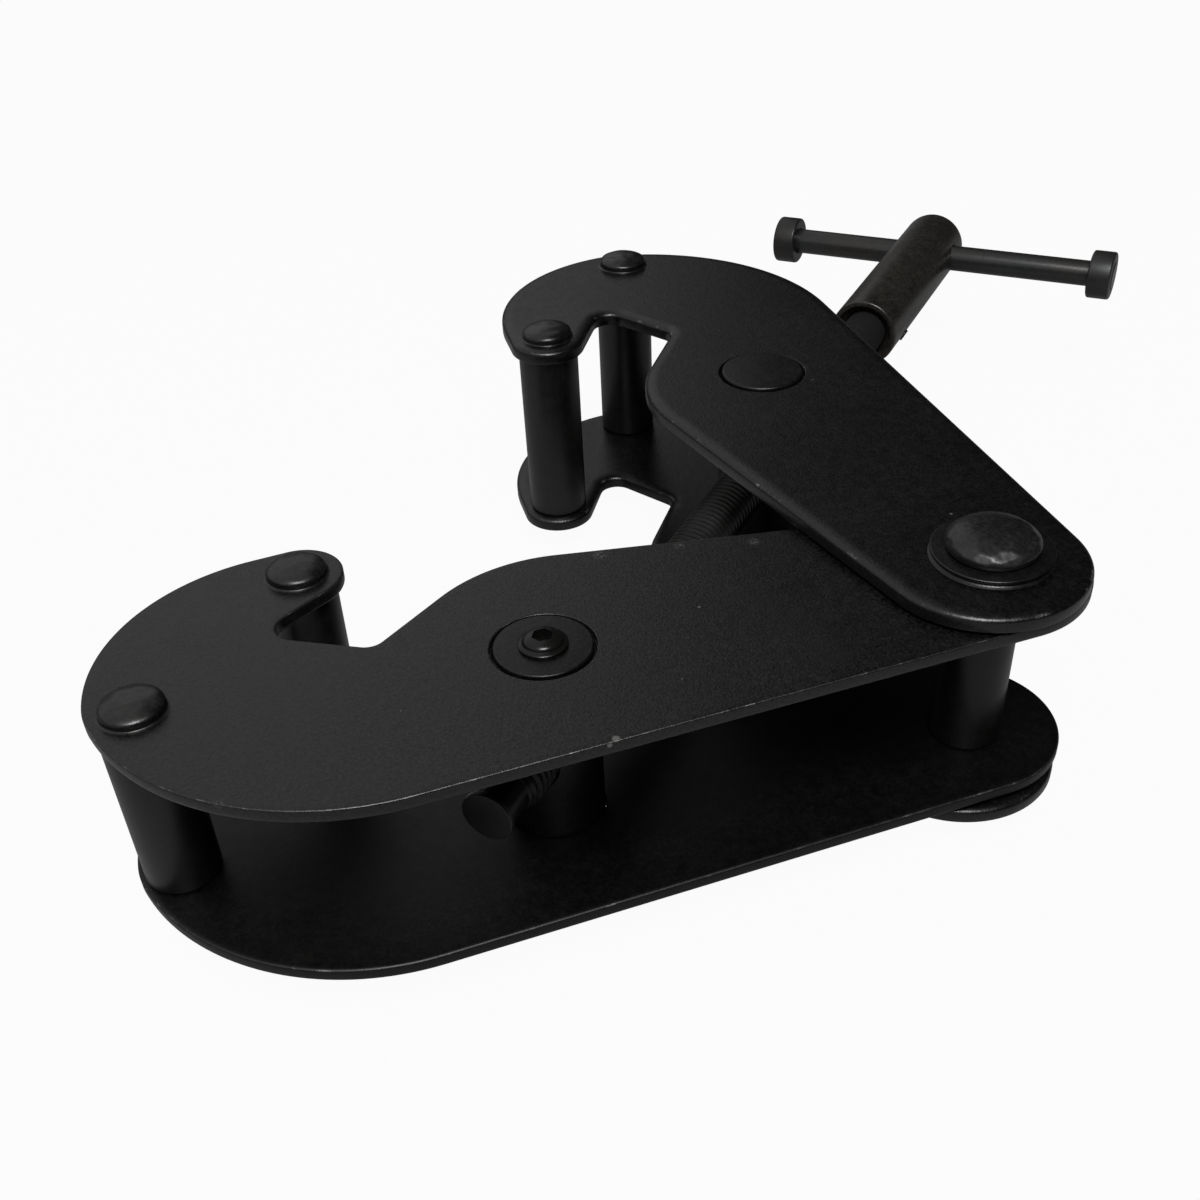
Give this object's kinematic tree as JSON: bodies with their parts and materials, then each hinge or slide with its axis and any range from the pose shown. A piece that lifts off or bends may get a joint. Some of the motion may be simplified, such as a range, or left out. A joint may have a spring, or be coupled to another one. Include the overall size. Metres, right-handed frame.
{
  "type": "beam clamp",
  "caption": "Scissor beam clamp with paired hook plates, a left- and right-hand screw through swivelling trunnions and a sliding T-handle.",
  "frame": {"origin": "centre of the clamp's bounding box in plan, at the level of the lowest point, the lower head of the main pin", "axes": "+X along the inner jaw from its nose towards the main pin, +Y away from the inner jaw's back edge towards the flange, +Z along the main pin"},
  "size_m": [0.368, 0.2926, 0.0758],
  "materials": {
    "jaw_plate": "matte black coating",
    "rivet": "satin black coating",
    "spacer_tube": "satin black coating",
    "trunnion": "matte black coating",
    "screw_steel": "oiled black steel",
    "handle_boss": "brownish black coating",
    "bar_steel": "blackened steel"
  },
  "bodies": {
    "inner_jaw": {"inner_plate_top": "jaw_plate", "inner_plate_bottom": "jaw_plate", "inner_nose_spacer": "spacer_tube", "inner_nose_rivet": "rivet", "inner_tip_spacer": "spacer_tube", "inner_tip_rivet": "rivet", "pivot_sleeve": "spacer_tube", "main_pin": "rivet", "pivot_washer_top": "rivet", "pivot_washer_bottom": "rivet"},
    "outer_jaw": {"outer_plate_top": "jaw_plate", "outer_plate_bottom": "jaw_plate", "outer_back_spacer": "spacer_tube", "outer_back_rivet": "rivet", "outer_tip_spacer": "spacer_tube", "outer_tip_rivet": "rivet"},
    "inner_swivel": {"inner_trunnion": "trunnion", "trunnion_screw": "screw_steel"},
    "outer_swivel": {"outer_trunnion": "trunnion"},
    "screw_end": {"spindle_stop_disc": "screw_steel"},
    "screw": {"spindle": "screw_steel", "handle_boss": "handle_boss", "boss_roll_pin": "bar_steel"},
    "cross_bar": {"tommy_bar": "bar_steel", "bar_cap_left": "bar_steel", "bar_cap_right": "bar_steel"}
  },
  "joints": [
    {"name": "main_pivot", "type": "hinge", "parent": "inner_jaw", "child": "outer_jaw", "pos_m": [0.0171, -0.1219, 0.0379], "axis": [0, 0, -1], "range_deg": [-36.75, 26.1]},
    {"name": "inner_swivel_turn", "type": "hinge", "parent": "inner_jaw", "child": "inner_swivel", "pos_m": [-0.0865, -0.1085, 0.0379], "axis": [0, 0, -1], "range_deg": [-18.4, 13.1]},
    {"name": "outer_swivel_turn", "type": "hinge", "parent": "outer_jaw", "child": "outer_swivel", "pos_m": [0.00823, -0.01781, 0.0379], "axis": [0, 0, -1], "range_deg": [-13.1, 18.4]},
    {"name": "screw_travel", "type": "slide", "parent": "inner_swivel", "child": "screw_end", "axis": [0.7224, 0.6915, 0], "range_m": [-0.0236, 0.0168]},
    {"name": "handle_turn", "type": "hinge", "parent": "screw_end", "child": "screw", "pos_m": [-0.0865, -0.1085, 0.0379], "axis": [0.7224, 0.6915, 0], "range_deg": [-4230, 3000]},
    {"name": "bar_slide", "type": "slide", "parent": "screw", "child": "cross_bar", "axis": [0.6912, -0.7221, 0.0279], "range_m": [-0.0484, 0.037]}
  ],
  "couplings": [
    {"joint": "screw_travel", "follows": "handle_turn", "m_per_rad": 0.00031831},
    {"joint": "main_pivot", "follows": "handle_turn", "ratio": 0.0086733},
    {"joint": "inner_swivel_turn", "follows": "handle_turn", "ratio": 0.0043367},
    {"joint": "outer_swivel_turn", "follows": "handle_turn", "ratio": -0.0043367}
  ]
}
